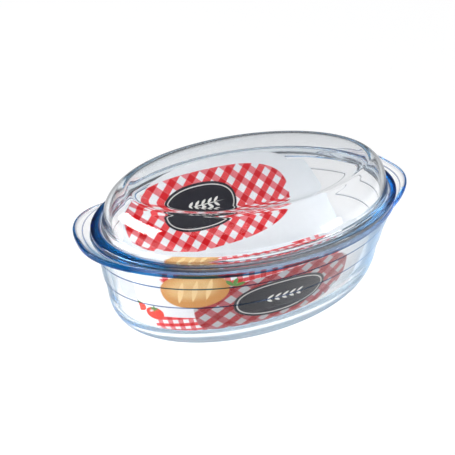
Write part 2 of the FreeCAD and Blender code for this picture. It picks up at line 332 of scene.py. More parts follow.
def shell(name, profile, sizes, finish):
    mesh = bpy.data.meshes.new(name + "_profile")
    mesh.from_pydata([(p[0] * MM, p[1] * MM, p[2] * MM) for p in profile], [], [])
    for index, key in enumerate(("reach", "lift", "edge", "ends")):
        layer = mesh.attributes.new(key, "FLOAT", "POINT")
        scale = MM if key == "lift" else 1.0
        layer.data.foreach_set("value", [p[3 + index] * scale for p in profile])
    scratch = placed(name + "_profile", mesh)
    modifier = scratch.modifiers.new("ovals", "NODES")
    modifier.node_group = oval_tree
    items = oval_tree.interface.items_tree
    ids = {item.name: item.identifier for item in items if item.in_out == "INPUT"}
    modifier[ids["Points Round"]] = ROUND_POINTS
    for key, value in sizes.items():
        modifier[ids[key]] = value
    modifier[ids["Finish"]] = finish
    graph = bpy.context.evaluated_depsgraph_get()
    made = bpy.data.meshes.new_from_object(scratch.evaluated_get(graph))
    scratch.modifiers.remove(modifier)
    bpy.data.objects.remove(scratch)
    made.name = name
    work = bmesh.new()
    work.from_mesh(made)
    loose = sum(1 for e in work.edges if not e.is_manifold)
    volume = work.calc_volume(signed=True) * 1e6
    work.free()
    print(name, len(made.vertices), "points", loose, "open edges", round(volume, 1), "cm3")
    return placed(name, made)


print("shells get", ROUND_POINTS, "points round")

# %% [markdown]
# ## Rounds
# Pressed glass has no sharp edge. Most edges of a profile are quarter rounds, so one helper
# gives their points.

# %% Rounds
def arc(steps, start, end):
    """Angles in radians from start to end degrees, both ends included."""
    return [math.radians(start + (end - start) * i / steps) for i in range(steps + 1)]


def rounded(steps, start, end, radius):
    """A quarter round: how far each point stands in from the side, and from the flat."""
    return [(radius * (1 - math.cos(t)), radius * (1 - math.sin(t))) for t in arc(steps, start, end)]


print("a round of 1 mm has points at", [round(side, 2) for side, _ in rounded(4, 0, 90, 1.0)])

# %% [markdown]
# ## The dish: sizes
# The overall sizes come from the frame, and the rest is measured from them. The rim is
# wider than the wall below it, and the ears carry it out further at both ends.

# %% Dish sizes
RIM = (151.8, dish_high[1] / MM)
EAR = (dish_high[0] / MM, RIM[1] * 0.803)
EAR_FULLNESS = 2.5
EAR_RISE = 7.1
EAR_UNDERSIDE_Z = 85.0
DISH_HEIGHT = 90.0
BEAD_REACH = (2.1, 3.1)
WALL_TOP = (RIM[0] - BEAD_REACH[0], RIM[1] - BEAD_REACH[1])
WALL_TOP_Z = 83.5
WALL_DRAFT = (0.068, 0.166)
WALL_THICKNESS = 4.6
FLOOR_Z = 6.0
CORNER_HEIGHT = 30.8
CORNER_REACH = (15.1, 8.6)
dish_sizes = dict(zip(TREE_SIZES, (RIM[0] * MM, RIM[1] * MM, EAR[0] * MM, EAR[1] * MM, EAR_FULLNESS)))
print("rim half sizes", [round(half, 1) for half in RIM], "ears", [round(half, 1) for half in EAR])

# %% [markdown]
# ## The dish: outside
# The base is flat and its corner a wide curve. The wall leans out a little, and has two
# shallow steps. Each step gets close points of its own, so that its small S-curve is
# smooth, and the points on it and just above it get a painted dark line, as painted shade,
# so that the steps read as two fine lines on the finished glass.

# %% Dish outside
STEP_HEIGHTS = (48.4, 70.7)
STEP_OUT = 1.1
STEP_BLEND = 0.8
STEP_SHARES = (-10.0, -2.0, -0.6, -0.5, -0.35, -0.2, -0.1, 0.0)
STEP_SHARES += (0.1, 0.2, 0.35, 0.5, 0.6, 2.1, 2.3, 3.6)
STEP_PAINTED_LINE = (-0.55, 2.2)
MIDDLE_SHARES = (0.5, 0.9, 0.985)


def drawn_in(oval, inset, z, reach=0.0, lift=0.0, edge=0.0, ends=0.0):
    """A profile point: an oval drawn in by the same inset all round."""
    return (oval[0] - inset, oval[1] - inset, z, reach, lift, edge, ends)


def flat_middle(oval, z, outwards):
    """The points of a flat oval from its middle to near its edge, or back again."""
    points = [drawn_in((0.0, 0.0), 0.0, z)]
    points += [drawn_in((oval[0] * share, oval[1] * share), 0.0, z) for share in MIDDLE_SHARES]
    return points if outwards else points[::-1]


def wall_oval(z):
    """The outer wall's oval at height z: drawn in by its draft and by each step above z."""
    steps = 0.0
    for step_z in STEP_HEIGHTS:
        t = min(max((step_z - z) / STEP_BLEND + 0.5, 0.0), 1.0)
        steps += STEP_OUT * t * t * (3.0 - 2.0 * t)
    return tuple(WALL_TOP[i] - WALL_DRAFT[i] * (WALL_TOP_Z - z) - steps for i in (0, 1))


def dish_outer_points():
    corner = wall_oval(CORNER_HEIGHT)
    base = (corner[0] - CORNER_REACH[0], corner[1] - CORNER_REACH[1])
    points = flat_middle(base, 0.0, True)
    for angle in arc(26, 0, 90):
        left = 1.0 - math.sin(angle)
        oval = (corner[0] - CORNER_REACH[0] * left, corner[1] - CORNER_REACH[1] * left)
        points.append(drawn_in(oval, 0.0, CORNER_HEIGHT * (1 - math.cos(angle))))
    for step_z in STEP_HEIGHTS:
        for share in STEP_SHARES:
            z = step_z + share * STEP_BLEND
            # Painted shade: a dark line painted on and just above each step.
            painted_line = 1.0 if STEP_PAINTED_LINE[0] < share < STEP_PAINTED_LINE[1] else 0.0
            points.append(drawn_in(wall_oval(z), 0.0, z, edge=painted_line))
    return points


dish_profile = dish_outer_points()
print("dish outside has", len(dish_profile), "points")

# %% [markdown]
# ## The dish: rim and ears
# The rim is a rolled bead. Where the ears are, the same bead is drawn out into a tilted
# plate with a raised lip round a shallow thumb rest. So each point of the rim also says
# how much of the ear's reach it takes. `THUMB_REST` lists the way back over the top of the
# ear: how far each point is drawn in, its share of the reach, and how deep it sinks.

# %% Dish rim
BEAD_START = ((80.5, 0.0), (82.0, 0.0), (83.3, 0.03), (84.2, 0.12), (84.8, 0.3))
BEAD_LOWER, BEAD_UPPER = 1.6, 1.8
THUMB_REST = ((1.85, 0.84, 0.0), (1.9, 0.72, 0.0), (1.95, 0.63, 0.12), (2.0, 0.58, 0.5), (2.05, 0.54, 0.88))
THUMB_REST += ((2.1, 0.50, 1.0), (2.2, 0.38, 1.0), (2.3, 0.26, 1.0), (2.4, 0.20, 0.85), (2.5, 0.15, 0.5))
THUMB_REST += ((2.6, 0.11, 0.12), (2.75, 0.06, 0.0), (2.9, 0.0, 0.0))
THUMB_REST_DEPTH = 0.9
# A painted dark line along the lip round the thumb rest, as painted shade.
THUMB_REST_PAINTED_LINE = 0.9
EAR_SETTLE = 0.7
EAR_UNDERSIDE_REACHES = (0.1, 0.3, 0.6, 0.85)
# How much painted dark blue the ear's underside and bead get, as painted shade and painted depth colour.
UNDERSIDE_EDGE_PAINT, BEAD_EDGE_PAINT, BEAD_TOP_EDGE_PAINT, BEAD_ENDS_EDGE_PAINT = 0.1, 1.0, 0.7, 0.3


def dish_rim_points():
    """The rim's bead, which runs out along the ears and back over their thumb rest."""
    points = []
    for z, out in BEAD_START:
        top = wall_oval(z)
        oval = tuple(top[i] + (RIM[i] - top[i]) * out for i in (0, 1))
        points.append(drawn_in(oval, 0.0, z, out * 0.1, EAR_RISE * out * 0.1))
    for reach in EAR_UNDERSIDE_REACHES:
        place = (RIM, 1.3 - 0.9 * reach, EAR_UNDERSIDE_Z)
        points.append(drawn_in(*place, reach, EAR_RISE * reach, UNDERSIDE_EDGE_PAINT))
    for inset, above in rounded(6, 90, 0, BEAD_LOWER):
        place = (RIM, inset, EAR_UNDERSIDE_Z + above)
        points.append(drawn_in(*place, 1.0, EAR_RISE, BEAD_EDGE_PAINT, BEAD_ENDS_EDGE_PAINT))
    for inset, below in rounded(7, 0, 90, BEAD_UPPER):
        place = (RIM, inset, DISH_HEIGHT - below)
        points.append(drawn_in(*place, 1.0, EAR_RISE, BEAD_TOP_EDGE_PAINT, BEAD_ENDS_EDGE_PAINT))
    for inset, reach, sink in THUMB_REST:
        painted_lip_line = THUMB_REST_PAINTED_LINE if sink == 0.5 or reach < 0.16 else 0.0
        settle = min((1.0 - reach) / EAR_SETTLE, 1.0)
        rise = EAR_RISE * max(reach - inset * settle / (EAR[0] - RIM[0]), 0.0)
        points.append(drawn_in(RIM, inset, DISH_HEIGHT, reach, rise - THUMB_REST_DEPTH * sink, ends=painted_lip_line))
    return points


dish_profile += dish_rim_points()
print("with its rim, the dish has", len(dish_profile), "points")

# %% [markdown]
# ## The dish: inside
# The inside is smooth, so that it wipes clean: the steps are on the outside only. Its
# corner follows a curve of its own, which leaves the glass thick at the foot.

# %% Dish inside
INNER_CORNER_HEIGHT = 22.0
INNER_CORNER_REACH = 16.0
INNER_CORNER_TOP_Z = FLOOR_Z + INNER_CORNER_HEIGHT
MOUTH_ROUND = 1.0
WALL_HEIGHTS = [80.0, 65.0, 50.0, 40.0, 32.0]


def inner_oval(z):
    """The inside of the dish at height z: a smooth wall above a rounded corner."""
    foot = wall_oval(CORNER_HEIGHT)
    corner_share = max((INNER_CORNER_TOP_Z - z) / INNER_CORNER_HEIGHT, 0.0)
    share = (DISH_HEIGHT - max(z, INNER_CORNER_TOP_Z)) / (DISH_HEIGHT - CORNER_HEIGHT)
    reach_in = INNER_CORNER_REACH * (1 - math.sqrt(max(1 - corner_share ** 2, 0.0)))
    lean = [share * (WALL_TOP[i] - foot[i]) for i in (0, 1)]
    return tuple(WALL_TOP[i] - WALL_THICKNESS - lean[i] - reach_in for i in (0, 1))


def dish_inner_points():
    mouth = inner_oval(DISH_HEIGHT)
    edge = rounded(5, 90, 0, MOUTH_ROUND)
    points = [drawn_in(mouth, -outset, DISH_HEIGHT - below) for outset, below in edge]
    corner = [FLOOR_Z + INNER_CORNER_HEIGHT * (1 - math.cos(angle)) for angle in arc(22, 90, 0)]
    points += [drawn_in(inner_oval(z), 0.0, z) for z in WALL_HEIGHTS + corner]
    return points + flat_middle(points[-1][:2], FLOOR_Z, False)


dish_profile += dish_inner_points()
dish = shell("glass_dish", dish_profile, dish_sizes, dish_glass)
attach(dish, "dish")
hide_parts("casserole_dish")

# %% [markdown]
# ## The lid: sizes
# Turned over, the lid is a shallow dish of its own: a flat bottom, a rounded corner, a
# steep wall and a flange that is wider at the two ends.

# %% Lid sizes
FLANGE = (lid_high[0] / MM, lid_high[1] / MM)
FLANGE_THICKNESS = 5.0
LID_TOP_Z = lid_high[2] / MM
RIB_Z = lid_low[2] / MM
LID_SEAT_GAP = 0.3
LID_BOTTOM_Z = DISH_HEIGHT + LID_SEAT_GAP
FLANGE_TOP_Z = LID_BOTTOM_Z + FLANGE_THICKNESS
FLANGE_REACH = (12.2, 7.4)
LID_FOOT = (FLANGE[0] - FLANGE_REACH[0], FLANGE[1] - FLANGE_REACH[1])
LID_FOOT_RADIUS = 6.0
LID_LEAN = (20.2, 19.4)
LID_BULGE_LEAN = (0.1, 6.3)
LID_BULGE_BELOW_TOP = 7.6
LID_WALL = 4.5
print("lid from", round(RIB_Z, 1), "to", round(LID_TOP_Z, 1), "flange", [round(half, 1) for half in FLANGE])

# %% [markdown]
# ## The lid: wall and crease
# The wall bulges as it rises, which a quadratic curve gives. It meets the flat in a soft
# crease, rounded by the flame that polishes pressed glass. The crease bends what is seen
# through it, so it shows as a band all round the top.

# %% Lid wall
OUTER_CREASE = (0.85, 9.0)
INNER_CREASE = (0.95, 2.0)
CREASE_STEPS = 12


def lid_wall(share, thickness):
    """The lid's wall from its foot (share 0) to its flat top (share 1), drawn in square to it."""
    foot_z = FLANGE_TOP_Z + LID_FOOT_RADIUS
    bulge_rise = LID_TOP_Z - LID_BULGE_BELOW_TOP - foot_z
    weight, rest = 2 * share * (1 - share), share ** 2
    lean = [weight * LID_BULGE_LEAN[i] + rest * LID_LEAN[i] for i in (0, 1)]
    rise = weight * bulge_rise + rest * (bulge_rise + LID_BULGE_BELOW_TOP)
    run_in = (1 - share) * sum(LID_BULGE_LEAN) / 2 + share * (sum(LID_LEAN) - sum(LID_BULGE_LEAN)) / 2
    run_up = (1 - share) * bulge_rise + share * LID_BULGE_BELOW_TOP
    run = math.hypot(run_in, run_up)
    inward, downward = thickness * run_up / run, thickness * run_in / run
    return (LID_FOOT[0] - lean[0] - inward, LID_FOOT[1] - lean[1] - inward), foot_z + rise - downward


def lid_wall_points(thickness, steps, last_share):
    """The wall's points upwards, on its outside or, drawn in by its thickness, on its inside."""
    spots = [lid_wall(last_share * i / steps, thickness) for i in range(steps + 1)]
    return [drawn_in(oval, 0.0, z) for oval, z in spots]


def lid_crease_points(thickness, start_share, reach):
    """The turn from the wall to the flat: it starts at a share of the wall and ends in the flat."""
    crease, crease_z = lid_wall(1.0, thickness)
    below, below_z = lid_wall(start_share, thickness)
    within = tuple(v - reach for v in crease)
    points = []
    for step in range(1, CREASE_STEPS + 1):
        t = step / CREASE_STEPS
        low, mid, top = (1 - t) ** 2, 2 * t * (1 - t), t ** 2
        oval = tuple(low * below[i] + mid * crease[i] + top * within[i] for i in (0, 1))
        points.append(drawn_in(oval, 0.0, low * below_z + (mid + top) * crease_z))
    return points


inner_side = lid_wall_points(LID_WALL, 24, INNER_CREASE[0]) + lid_crease_points(LID_WALL, *INNER_CREASE)
outer_side = lid_wall_points(0.0, 26, OUTER_CREASE[0]) + lid_crease_points(0.0, *OUTER_CREASE)
print("lid wall has", len(inner_side), "points inside and", len(outer_side), "outside")

# %% [markdown]
# ## The lid: rib
# A low rib under the flange drops inside the mouth of the dish and keeps the lid from
# sliding off. Its two lower edges are rounded, and a small fillet joins it to the flange.

# %% Lid rib
RIB_CLEARANCE = 1.0
RIB_OUT = tuple(half - WALL_THICKNESS - RIB_CLEARANCE for half in WALL_TOP)
RIB_THICKNESS = 5.2
RIB_ROUND = 1.0
RIB_FILLET = 0.5
RIB_TOP_IN, RIB_TOP_OUT = 0.4, 0.6
HOLLOW_MOUTH_Z = (95.5, 92.5)


def lid_rib_points():
    hollow = (LID_FOOT[0] - LID_WALL, LID_FOOT[1] - LID_WALL)
    rib_in = (RIB_OUT[0] - RIB_THICKNESS, RIB_OUT[1] - RIB_THICKNESS)
    points = [drawn_in(hollow, 0.0, z) for z in HOLLOW_MOUTH_Z]
    points += [drawn_in(rib_in, 0.0, z) for z in (LID_BOTTOM_Z - RIB_TOP_IN, RIB_Z + RIB_ROUND)]
    for outset, above in rounded(4, 0, 90, RIB_ROUND):
        points.append(drawn_in(rib_in, -outset, RIB_Z + above))
    for inset, above in rounded(4, 90, 0, RIB_ROUND):
        points.append(drawn_in(RIB_OUT, inset, RIB_Z + above))
    points.append(drawn_in(RIB_OUT, 0.0, LID_BOTTOM_Z - RIB_TOP_OUT))
    for outset, below in rounded(3, 0, 90, RIB_FILLET):
        points.append(drawn_in(RIB_OUT, -outset, LID_BOTTOM_Z - below))
    return points


lid_profile = flat_middle(inner_side[-1][:2], inner_side[-1][2], True) + inner_side[::-1]
lid_profile += lid_rib_points()
print("up to its rib, the lid has", len(lid_profile), "points")

# %% [markdown]
# ## The lid: flange
# The flange is a flat plate with rounded edges, and a fillet leads from it to the wall.
# Light runs a long way inside it, and the blue that this gives is painted on here, most of
# all at the two ends, where it is widest. The marks say how much painted dark blue each
# stretch of the profile gets; the darkest, along its lower edge, is painted shade where the
# lid sits on the rim.

# %% Lid flange
EDGE_ROUND = 1.3
# Painted dark blue for each stretch of the flange; the lower edge gets the most, as painted shade.
UNDER_EDGE_PAINT, LOW_EDGE_PAINT, MIDDLE_EDGE_PAINT, TOP_EDGE_PAINT = 0.1, 1.0, 0.3, 0.15
LOW_EDGE_PAINT_SHARE = 0.6
LOW_ENDS_EDGE_PAINT = 0.9
FOOT_EDGE_PAINT, FOOT_EDGE_PAINT_FADE = 0.2, 0.3


def lid_flange_points():
    inner_edge = (LID_FOOT[0] + LID_FOOT_RADIUS, LID_FOOT[1] + LID_FOOT_RADIUS)
    flat = [(FLANGE[i] - EDGE_ROUND + inner_edge[i]) / 2 for i in (0, 1)]
    points = [drawn_in(FLANGE, EDGE_ROUND + 1.0, LID_BOTTOM_Z, edge=UNDER_EDGE_PAINT)]
    for inset, above in rounded(6, 90, 0, EDGE_ROUND):
        edge_paint = LOW_EDGE_PAINT if above < LOW_EDGE_PAINT_SHARE * EDGE_ROUND else MIDDLE_EDGE_PAINT
        points.append(drawn_in(FLANGE, inset, LID_BOTTOM_Z + above, edge=edge_paint, ends=LOW_ENDS_EDGE_PAINT))
    for inset, below in rounded(6, 0, 90, EDGE_ROUND):
        points.append(drawn_in(FLANGE, inset, FLANGE_TOP_Z - below, edge=TOP_EDGE_PAINT, ends=1.0))
    points.append(drawn_in(flat, 0.0, FLANGE_TOP_Z, ends=1.0))
    for index, (above, outset) in enumerate(rounded(8, 0, 90, LID_FOOT_RADIUS)[:-1]):
        edge_paint = max(1.0 - FOOT_EDGE_PAINT_FADE * index, 0.0)
        points.append(drawn_in(LID_FOOT, -outset, FLANGE_TOP_Z + above, edge=FOOT_EDGE_PAINT * edge_paint, ends=edge_paint))
    return points


lid_profile += lid_flange_points() + outer_side
lid_profile += flat_middle(lid_profile[-1][:2], LID_TOP_Z, False)
# The lid has no ears, so its ear oval stays well inside the rim.
lid_sizes = dict(dish_sizes)
lid_sizes["Ear Half Length"] = RIM[0] * MM * 0.5
lid_sizes["Ear Half Width"] = RIM[1] * MM * 0.5
lid = shell("glass_lid", lid_profile, lid_sizes, lid_glass)
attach(lid, "lid")
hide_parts("lid")

# %% [markdown]
# ## Printed board
# Both cards are white coated board, 0.8 mm thick, printed on one face. The print is worked
# out from the sheet's own lengths, kept on each point as `sheet_place`, so it follows the
# bend of the front card as ink does. `printed` is 1 on the printed face and 0 on the back
# and the cut edges, which show plain grey-white board with a faint fibre.
#
# On the front card the check panel is mixed towards slate, so it reads darker than on
# the back card. A plain oval plaque and a few kitchen motifs sit on it. Nothing is lettered.
# First come the inks, and the colours of the bare board.

# %% Print inks
INK_DARK_RED = (0.60, 0.001, 0.004, 1.0)
INK_RED = (0.74, 0.010, 0.016, 1.0)
INK_PINK = (0.76, 0.13, 0.15, 1.0)
INK_WHITE = (0.89, 0.885, 0.89, 1.0)
INK_SLATE = (0.010, 0.009, 0.014, 1.0)
INK_CREAM = (0.86, 0.84, 0.78, 1.0)
INK_CRUST = (0.62, 0.27, 0.065, 1.0)
INK_CRUST_PALE = (0.87, 0.62, 0.30, 1.0)
INK_TOMATO = (0.72, 0.035, 0.015, 1.0)
INK_LEAF = (0.10, 0.27, 0.045, 1.0)
BOARD_BACK = (0.70, 0.69, 0.66, 1.0)
BOARD_FIBRE = (0.50, 0.48, 0.44, 1.0)
BOARD_DULL = (0.10, 0.10, 0.11, 1.0)
print("inks ready, from", INK_DARK_RED, "to", BOARD_BACK)

# %% [markdown]
# ## Ink shapes
# An ink shape is a mask: 1 where the ink lies and 0 elsewhere, mostly with a soft edge a
# fraction of a millimetre wide. Ovals, leaves and stripes are enough for the whole print.

# %% Print shapes
LEAF_BLUR = 0.3
THREAD_STRIPE = 0.45


class Print:
    """Ink shapes on a sheet. Each one is a mask, 1 inside, from the sheet's x and y in mm."""

    def __init__(self, g, x, y):
        self.g, self.x, self.y = g, x, y

    def turned(self, centre, degrees):
        c, s = math.cos(math.radians(degrees)), math.sin(math.radians(degrees))
        dx, dy = self.x - centre[0], self.y - centre[1]
        return dx * c + dy * s, dy * c - dx * s

    def oval(self, centre, half, degrees=0.0, power=2.0, blur=0.35):
        dx, dy = self.turned(centre, degrees)
        shape = (abs(dx) / half[0]) ** power + (abs(dy) / half[1]) ** power
        size = min(half)
        return self.g.soft_step(shape ** (1.0 / power) * size, size + blur, size - blur)

    def leaf(self, centre, half, degrees):
        dx, dy = self.turned(centre, degrees)
        bow = (half[0] ** 2 - half[1] ** 2) / (2 * half[1])
        radius = bow + half[1]
        reach = self.g.math("SQRT", dx * dx + (abs(dy) + bow) ** 2.0)
        return self.g.soft_step(reach, radius + LEAF_BLUR, radius - LEAF_BLUR)

    def stripes(self, degrees, width, shift=0.0, blur=0.03):
        along = self.x * math.cos(math.radians(degrees)) + self.y * math.sin(math.radians(degrees))
        wave = abs(self.g.math("FRACT", (along + shift) / (2 * width)) - 0.5)
        return self.g.soft_step(wave, 0.25 - blur, 0.25 + blur)

    def gingham(self, turn, width):
        first, second = self.stripes(turn + 90, width), self.stripes(turn, width)
        thread = self.stripes(turn + 45, THREAD_STRIPE, blur=0.2)
        one = self.g.mix(first * (0.9 + 0.1 * thread), INK_WHITE, INK_RED)
        other = self.g.mix(second * (0.85 + 0.15 * thread), INK_WHITE, INK_PINK)
        single = self.g.mix(second, one, other)
        return self.g.mix(first * second, single, INK_DARK_RED)


print("print shapes ready")

# %% [markdown]
# ## Kitchen motifs
# The motifs stand in for pictures of food: a round loaf with three cuts, tomatoes and
# leaves. They are built up as a printer would, one ink shape over the last.

# %% Motif makers
def ink(g, base, mask, colour):
    return g.mix(mask, base, colour)


def plaque(g, p, base, centre, half):
    base = ink(g, base, p.oval(centre, half, power=2.3), INK_SLATE)
    ring = p.oval(centre, (half[0] - 2.6, half[1] - 2.6), power=2.3)
    ring = ring - p.oval(centre, (half[0] - 3.5, half[1] - 3.5), power=2.3)
    base = ink(g, base, ring, INK_CREAM)
    for step in (-2, -1, 0, 1, 2):
        for side in (-1, 1):
            place = (centre[0] + step * 7.0 + 3.2, centre[1] + side * 2.6)
            base = ink(g, base, p.leaf(place, (3.6, 1.3), side * 38), INK_CREAM)
    stem = p.oval(centre, (20.0, 0.45), blur=0.2)
    return ink(g, base, stem, INK_CREAM)


def loaf(g, p, base, centre, half, degrees, grain):
    base = ink(g, base, p.oval(centre, half, degrees, 2.2, 0.5), INK_CRUST)
    glow = p.oval((centre[0] - 2, centre[1] + 3), (half[0] * 0.72, half[1] * 0.62), degrees, 2.0, 5.0)
    base = ink(g, base, glow * (0.35 + 0.5 * grain), INK_CRUST_PALE)
    for step in (-1, 0, 1):
        turn, out = math.radians(degrees), step * half[0] * 0.42
        place = (centre[0] + out * math.cos(turn), centre[1] + out * math.sin(turn))
        base = ink(g, base, p.leaf(place, (half[1] * 0.66, 2.1), degrees + 68), INK_CRUST_PALE)
    return base


def tomato(g, p, base, centre, radius):
    base = ink(g, base, p.oval(centre, (radius, radius * 0.92), 0, 2.2), INK_TOMATO)
    shine = (centre[0] - radius * 0.35, centre[1] + radius * 0.35)
    base = ink(g, base, p.oval(shine, (radius * 0.25, radius * 0.14), 35, 2.0, 0.5) * 0.7, INK_WHITE)
    crown = (centre[0], centre[1] + radius * 0.75)
    for turn in (20, 90, 160):
        base = ink(g, base, p.leaf(crown, (radius * 0.5, 0.9), turn), INK_LEAF)
    return base


def sprig(g, p, base, centre, turns, size):
    for turn in turns:
        way = math.radians(turn)
        place = (centre[0] + size * math.cos(way), centre[1] + size * math.sin(way))
        base = ink(g, base, p.leaf(place, (size * 0.95, size * 0.36), turn), INK_LEAF)
    return base


print("motifs ready")

# %% [markdown]
# ## Two layouts
# Both cards share the check and the plaque, and the back card carries nothing else. The
# front card also has a finer check, two loaves, two tomatoes and a sprig. Places are in
# millimetres on the flat sheet: across from the middle of the dish, and up from the foot of
# the back card or, on the front card, from the table.

# %% Print layouts
CHECK_STRIPE, CLOTH_STRIPE = 7.5, 4.6
PANEL_TINT = 0.45


def back_print(g, p, grain):
    base = ink(g, INK_WHITE, p.oval((-18, 62.5), (93, 39), 0, 2.6), p.gingham(45, CHECK_STRIPE))
    return plaque(g, p, base, (-28, 67.5), (40, 22.5))


def front_print(g, p, grain):
    cloth = p.oval((-42, 86), (76, 16), 2, 4.0)
    napkin = p.oval((-103, 20), (26, 12), 0, 5.0)
    base = ink(g, INK_WHITE, g.math("MAXIMUM", cloth, napkin), p.gingham(8, CLOTH_STRIPE))
    panel = p.oval((-22, 44), (72, 33), 7, 3.0)
    base = ink(g, base, panel, p.gingham(45, CHECK_STRIPE))
    base = ink(g, base, panel * PANEL_TINT, INK_SLATE)
    base = plaque(g, p, base, (-18, 45), (43, 22))
    base = loaf(g, p, base, (-92, 66), (27, 20), 12, grain)
    base = loaf(g, p, base, (-96, 95), (22, 8), 4, grain)
    base = tomato(g, p, base, (-128, 34), 8.0)
    base = tomato(g, p, base, (-142, 40), 6.5)
    return sprig(g, p, base, (-62, 70), (20, 75, 130), 5.0)


print("layouts ready, check", CHECK_STRIPE, "and", CLOTH_STRIPE, "mm")

# %% [markdown]
# ## Board finish
# Coated board takes ink evenly, with a satin sheen; its bare back and cut edges are duller
# and a little fibrous. One finish serves both cards, and only the print differs.

# %% Board finish
GRAIN_SCALE, FIBRE_SCALE = 160.0, 1400.0
FIBRE_HEIGHT = 0.00004
BARE_ROUGHNESS, PRINT_SMOOTHS, GRAIN_ROUGHENS = 0.62, 0.30, 0.10
BOARD_IOR = 1.5
BOARD_SHEEN = 0.05


def board_finish(name, print_maker):
    material, g = empty_finish(name)
    sheet_place = g.add("ShaderNodeAttribute", {"attribute_name": "sheet_place"}, out="Vector")
    printed = g.add("ShaderNodeAttribute", {"attribute_name": "printed"}, out="Fac")
    x, y, _ = g.split(sheet_place)
    place = g.add("ShaderNodeTexCoord", out="Object")
    grain = g.noise(place, GRAIN_SCALE, 3.0)
    fibre = g.noise(place, FIBRE_SCALE, 3.0)
    inked = print_maker(g, Print(g, x, y), grain)
    bare = g.mix(0.25 * fibre, BOARD_BACK, BOARD_FIBRE)
    colour = g.mix(printed, bare, inked)
    bump = {"Strength": 0.25, "Distance": FIBRE_HEIGHT, "Height": fibre}
    inputs = {
        "Base Color": g.mix(0.10 * grain, colour, BOARD_DULL),
        "Roughness": BARE_ROUGHNESS - PRINT_SMOOTHS * printed + GRAIN_ROUGHENS * grain,
        "IOR": BOARD_IOR,
        "Specular IOR Level": BOARD_SHEEN,
        "Normal": g.add("ShaderNodeBump", None, bump),
    }
    g.end("ShaderNodeOutputMaterial", {"Surface": g.add("ShaderNodeBsdfPrincipled", None, inputs)})
    return material


front_board = board_finish("front_card_board", front_print)
back_board = board_finish("back_card_board", back_print)
print("boards", len(front_board.node_tree.nodes), len(back_board.node_tree.nodes), "nodes")

# %% [markdown]
# ## Cutting a card
# A card is an outline on the flat, filled with small squares, then placed by a rule that
# turns sheet lengths into a place in space. Making it from rows of points between the
# sheet's left and right edge keeps the squares even, and the rows follow rounded corners.

# %% Card faces
def card_faces(row_count, columns):
    """The corners of each face, and 1 for each face on the printed side."""
    half = row_count * columns
    faces, printed = [], []
    for r in range(row_count - 1):
        for c in range(columns - 1):
            a, b = r * columns + c, r * columns + c + 1
            d, e = a + columns, b + columns
            faces += [(a, b, e, d), (half + a, half + d, half + e, half + b)]
            printed += [1.0, 0.0]
    rim = [(c, 0) for c in range(columns)]
    rim += [(columns - 1, r) for r in range(1, row_count)]
    rim += [(c, row_count - 1) for c in range(columns - 2, -1, -1)]
    rim += [(0, r) for r in range(row_count - 2, 0, -1)]
    loop = [r * columns + c for c, r in rim]
    for first, second in zip(loop, loop[1:] + loop[:1]):
        faces.append((first, half + first, half + second, second))
        printed.append(0.0)
    return faces, printed


print("a card of 2 rows by 2 points has", len(card_faces(2, 2)[0]), "faces")

# %% [markdown]
# ## Two faces and an edge
# The board's back face is the printed face moved inwards by the board's thickness, and a
# band of faces closes the cut edge. Only the fold and the flat faces shade smooth; the cut
# edge stays sharp.

# %% Card maker
SHARP_TURN = math.radians(40)


def card(name, rows, place, thickness, finish):
    """rows: lists of (x, y) of equal length; place(x, y) gives the printed face and its inward normal."""
    points, sheet = [], []
    for side in (0, 1):
        for row in rows:
            for x, y in row:
                at, inward = place(x, y)
                points.append((at + inward * thickness * side) * MM)
                sheet += [x, y, 0.0]
    faces, printed = card_faces(len(rows), len(rows[0]))
    mesh = bpy.data.meshes.new(name)
    mesh.from_pydata(points, [], faces)
    mesh.attributes.new("sheet_place", "FLOAT_VECTOR", "POINT").data.foreach_set("vector", sheet)
    mesh.attributes.new("printed", "FLOAT", "FACE").data.foreach_set("value", printed)
    mesh.materials.append(finish)
    work = bmesh.new()
    work.from_mesh(mesh)
    bmesh.ops.recalc_face_normals(work, faces=work.faces)
    for edge in work.edges:
        edge.smooth = edge.calc_face_angle(0.0) < SHARP_TURN
    for item in work.faces:
        item.smooth = True
    work.to_mesh(mesh)
    closed = all(edge.is_manifold for edge in work.edges)
    volume = work.calc_volume(signed=True) * 1e6
    work.free()
    print(name, len(points), "points, closed", closed, round(volume, 2), "cm3")
    return placed(name, mesh)


# %% [markdown]
# ## The front card: its oval
# It stands on the inner corner and leans against the inside of the front wall, so it
# bends round the oval. Its sheet is measured along the oval at half height, from the
# middle of the front. An oval's arc length has no plain formula, so it is added up in
# quarter degrees, and looked up both ways.

# %% Front card oval
CARD_THICKNESS = 0.8
FRONT_FOOT = (132.94, 74.73, 11.33)
FRONT_HEAD = (144.31, 91.07, 85.0)
FRONT_START, FRONT_END = 203.0, 302.0
STEPS_PER_DEGREE = 4


def oval_lengths(half_length, half_width):
    """Arc length from the middle of the front, for every quarter degree of the oval."""
    steps = 360 * STEPS_PER_DEGREE
    table, total = [], 0.0
    for i in range(steps + 1):
        middle = math.radians((i - 0.5) * 360.0 / steps)
        if i:
            pace = math.hypot(half_length * math.sin(middle), half_width * math.cos(middle))
            total += pace * math.tau / steps
        table.append(total)
    front = table[int(steps * 0.75)]
    return [value - front for value in table]


def front_angle(x):
    """The oval's angle at length x along the sheet, by halving."""
    low, high = 0, len(front_lengths) - 1
    while high - low > 1:
        middle = (low + high) // 2
        low, high = (middle, high) if front_lengths[middle] <= x else (low, middle)
    share = (x - front_lengths[low]) / (front_lengths[high] - front_lengths[low])
    return math.radians((low + share) / STEPS_PER_DEGREE)


front_lengths = oval_lengths((FRONT_FOOT[0] + FRONT_HEAD[0]) / 2, (FRONT_FOOT[1] + FRONT_HEAD[1]) / 2)
print("once round the front card's oval is", round(front_lengths[-1] - front_lengths[0], 1), "mm")

